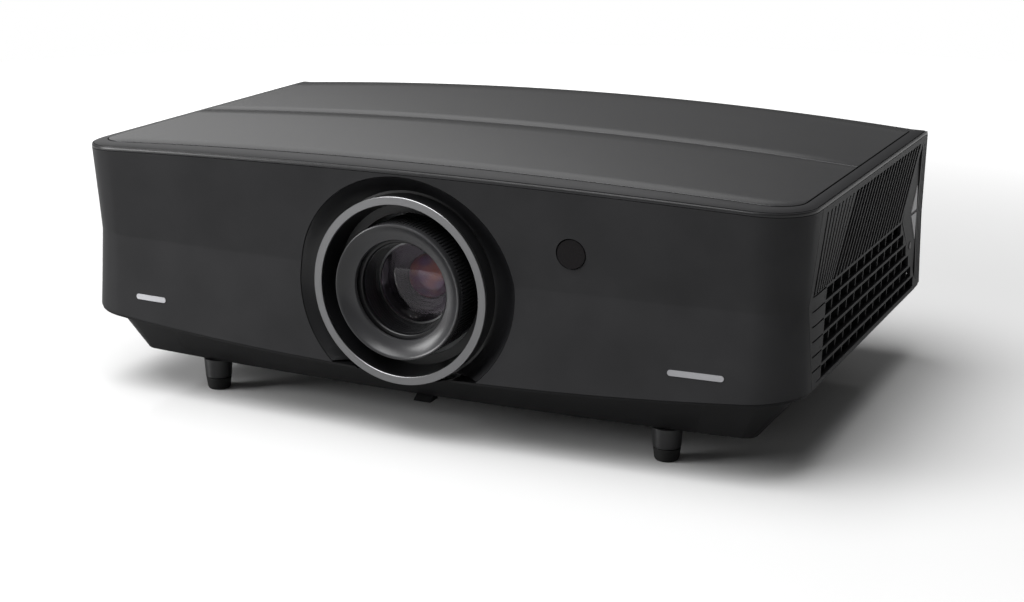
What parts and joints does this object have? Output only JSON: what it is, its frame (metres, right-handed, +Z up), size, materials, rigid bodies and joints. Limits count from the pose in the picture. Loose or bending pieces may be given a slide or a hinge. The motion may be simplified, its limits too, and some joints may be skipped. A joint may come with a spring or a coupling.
{
  "type": "home projector",
  "caption": "Low, wide black laser home projector with a deep round lens surround, silver ring, slatted and gridded side vents, hinged lens door and screw feet.",
  "frame": {"origin": "centre of the footprint, on the plane the feet stand on", "axes": "+X to the side with the keypad, +Z up; the lens faces -Y"},
  "size_m": [0.498, 0.331, 0.1728],
  "materials": {
    "case_black": "fine texture",
    "top_satin": "satin sheen",
    "grille_black": "fine texture",
    "pan_black": "fine texture",
    "surround_black": "smooth satin",
    "lens_black": "smooth satin",
    "silver": "satin",
    "ir_gloss": "polished dark",
    "front_glass": "coated",
    "inner_glass": "clear",
    "key_grey": "satin",
    "key_black": "satin",
    "foot_plastic": "fine texture",
    "foot_rubber": "matte",
    "steel": "bright",
    "cast_aluminium": "bead-blasted",
    "board_green": "solder resist",
    "fan_black": "moulded",
    "phosphor": "coated",
    "speaker_black": "paper cone",
    "socket_black": "moulded"
  },
  "bodies": {
    "casing": {"upper_frame": "case_black", "front_bezel": "case_black", "left_side_grille": "grille_black", "right_side_grille": "grille_black", "rear_panel": "case_black", "bottom_pan": "pan_black", "pan_front_clip": "pan_black", "top_cover": "top_satin", "door_hinge_bracket_left": "steel", "door_hinge_bracket_right": "steel", "lens_surround": "surround_black", "lens_trim_ring": "silver", "front_ir_window": "ir_gloss", "rear_ir_window": "ir_gloss", "lens_mount_plate": "cast_aluminium", "keypad_frame": "case_black", "intake_fan_frame": "fan_black", "exhaust_fan_frame": "fan_black", "light_engine_housing": "cast_aluminium", "dmd_board": "board_green", "dmd_heat_sink": "cast_aluminium", "laser_module": "cast_aluminium", "laser_heat_sink": "cast_aluminium", "phosphor_motor": "steel", "main_board": "board_green", "power_supply_board": "board_green", "speaker_left": "speaker_black", "speaker_right": "speaker_black", "io_port_plate": "socket_black", "ac_inlet": "socket_black", "foot_collar_rear_left": "foot_plastic", "foot_pad_rear_left": "foot_rubber", "foot_collar_rear_right": "foot_plastic", "foot_pad_rear_right": "foot_rubber"},
    "access_door": {"lens_access_door": "top_satin", "door_hinge_arm_left": "steel", "door_hinge_arm_right": "steel"},
    "horizontal_shift": {"horizontal_shift_carriage": "cast_aluminium"},
    "lens": {"vertical_shift_carriage": "cast_aluminium", "lens_barrel": "lens_black", "rear_lens_element": "inner_glass"},
    "focus_ring": {"focus_ring": "lens_black"},
    "focus_group": {"focus_lens_cell": "lens_black", "front_lens_element": "front_glass"},
    "zoom_ring": {"zoom_ring": "lens_black"},
    "zoom_group": {"zoom_lens_cell": "inner_glass"},
    "horizontal_dial": {"horizontal_shift_dial": "lens_black"},
    "vertical_dial": {"vertical_shift_dial": "lens_black"},
    "front_left_stem": {"foot_stem_front_left": "steel"},
    "front_left_foot": {"foot_collar_front_left": "foot_plastic", "foot_pad_front_left": "foot_rubber"},
    "front_right_stem": {"foot_stem_front_right": "steel"},
    "front_right_foot": {"foot_collar_front_right": "foot_plastic", "foot_pad_front_right": "foot_rubber"},
    "key_up": {"key_up": "key_grey"},
    "key_down": {"key_down": "key_grey"},
    "key_power": {"key_power": "key_black"},
    "intake_fan": {"intake_fan_rotor": "fan_black"},
    "exhaust_fan": {"exhaust_fan_rotor": "fan_black"},
    "phosphor_wheel": {"phosphor_wheel": "phosphor"}
  },
  "joints": [
    {"name": "door_lift", "type": "hinge", "parent": "casing", "child": "access_door", "pos_m": [0, 0.03, 0.1612], "axis": [-1, 0, 0], "range_deg": [0, 60]},
    {"name": "horizontal_dial_turn", "type": "hinge", "parent": "casing", "child": "horizontal_dial", "pos_m": [0.088, -0.098, 0.145], "axis": [0, 0, 1], "range_deg": [-180, 180]},
    {"name": "vertical_dial_turn", "type": "hinge", "parent": "casing", "child": "vertical_dial", "pos_m": [-0.088, -0.098, 0.145], "axis": [0, 0, 1], "range_deg": [-180, 180]},
    {"name": "horizontal_shift_slide", "type": "slide", "parent": "casing", "child": "horizontal_shift", "axis": [1, 0, 0], "range_m": [-0.0015, 0.0015]},
    {"name": "vertical_shift_slide", "type": "slide", "parent": "horizontal_shift", "child": "lens", "axis": [0, 0, 1], "range_m": [-0.0015, 0.0015]},
    {"name": "focus_turn", "type": "hinge", "parent": "lens", "child": "focus_ring", "pos_m": [0, -0.148, 0.096], "axis": [0, 1, 0], "range_deg": [-60, 60]},
    {"name": "focus_travel", "type": "slide", "parent": "lens", "child": "focus_group", "axis": [0, 1, 0], "range_m": [-0.0012, 0.0012]},
    {"name": "zoom_turn", "type": "hinge", "parent": "lens", "child": "zoom_ring", "pos_m": [0, -0.1215, 0.096], "axis": [0, 1, 0], "range_deg": [-20, 20]},
    {"name": "zoom_travel", "type": "slide", "parent": "lens", "child": "zoom_group", "axis": [0, 1, 0], "range_m": [-0.005, 0.005]},
    {"name": "front_left_foot_slide", "type": "slide", "parent": "casing", "child": "front_left_stem", "axis": [0, 0, -1], "range_m": [0, 0.012]},
    {"name": "front_left_foot_turn", "type": "hinge", "parent": "front_left_stem", "child": "front_left_foot", "pos_m": [-0.1614, -0.1224, 0.01], "axis": [0, 0, 1], "range_deg": [0, 2160]},
    {"name": "front_right_foot_slide", "type": "slide", "parent": "casing", "child": "front_right_stem", "axis": [0, 0, -1], "range_m": [0, 0.012]},
    {"name": "front_right_foot_turn", "type": "hinge", "parent": "front_right_stem", "child": "front_right_foot", "pos_m": [0.1614, -0.1224, 0.01], "axis": [0, 0, 1], "range_deg": [0, 2160]},
    {"name": "key_up_press", "type": "slide", "parent": "casing", "child": "key_up", "axis": [-1, 0, 0], "range_m": [0, 0.0008], "stiffness_N_per_m": 600, "springref_m": -0.0005},
    {"name": "key_down_press", "type": "slide", "parent": "casing", "child": "key_down", "axis": [-1, 0, 0], "range_m": [0, 0.0008], "stiffness_N_per_m": 600, "springref_m": -0.0005},
    {"name": "key_power_press", "type": "slide", "parent": "casing", "child": "key_power", "axis": [-1, 0, 0], "range_m": [0, 0.0008], "stiffness_N_per_m": 600, "springref_m": -0.0005},
    {"name": "intake_fan_spin", "type": "hinge", "parent": "casing", "child": "intake_fan", "pos_m": [0.214, 0.03, 0.097], "axis": [1, 0, 0], "continuous": true},
    {"name": "exhaust_fan_spin", "type": "hinge", "parent": "casing", "child": "exhaust_fan", "pos_m": [-0.214, 0.03, 0.097], "axis": [1, 0, 0], "continuous": true},
    {"name": "phosphor_wheel_spin", "type": "hinge", "parent": "casing", "child": "phosphor_wheel", "pos_m": [-0.07, 0.005, 0.085], "axis": [1, 0, 0], "continuous": true}
  ],
  "couplings": [
    {"joint": "horizontal_dial_turn", "follows": "horizontal_shift_slide", "rad_per_m": 2094.4},
    {"joint": "vertical_dial_turn", "follows": "vertical_shift_slide", "rad_per_m": 2094.4},
    {"joint": "focus_travel", "follows": "focus_turn", "m_per_rad": 0.0011459},
    {"joint": "zoom_turn", "follows": "zoom_travel", "rad_per_m": 69.813},
    {"joint": "front_left_foot_turn", "follows": "front_left_foot_slide", "rad_per_m": 3141.6},
    {"joint": "front_right_foot_turn", "follows": "front_right_foot_slide", "rad_per_m": 3141.6}
  ]
}
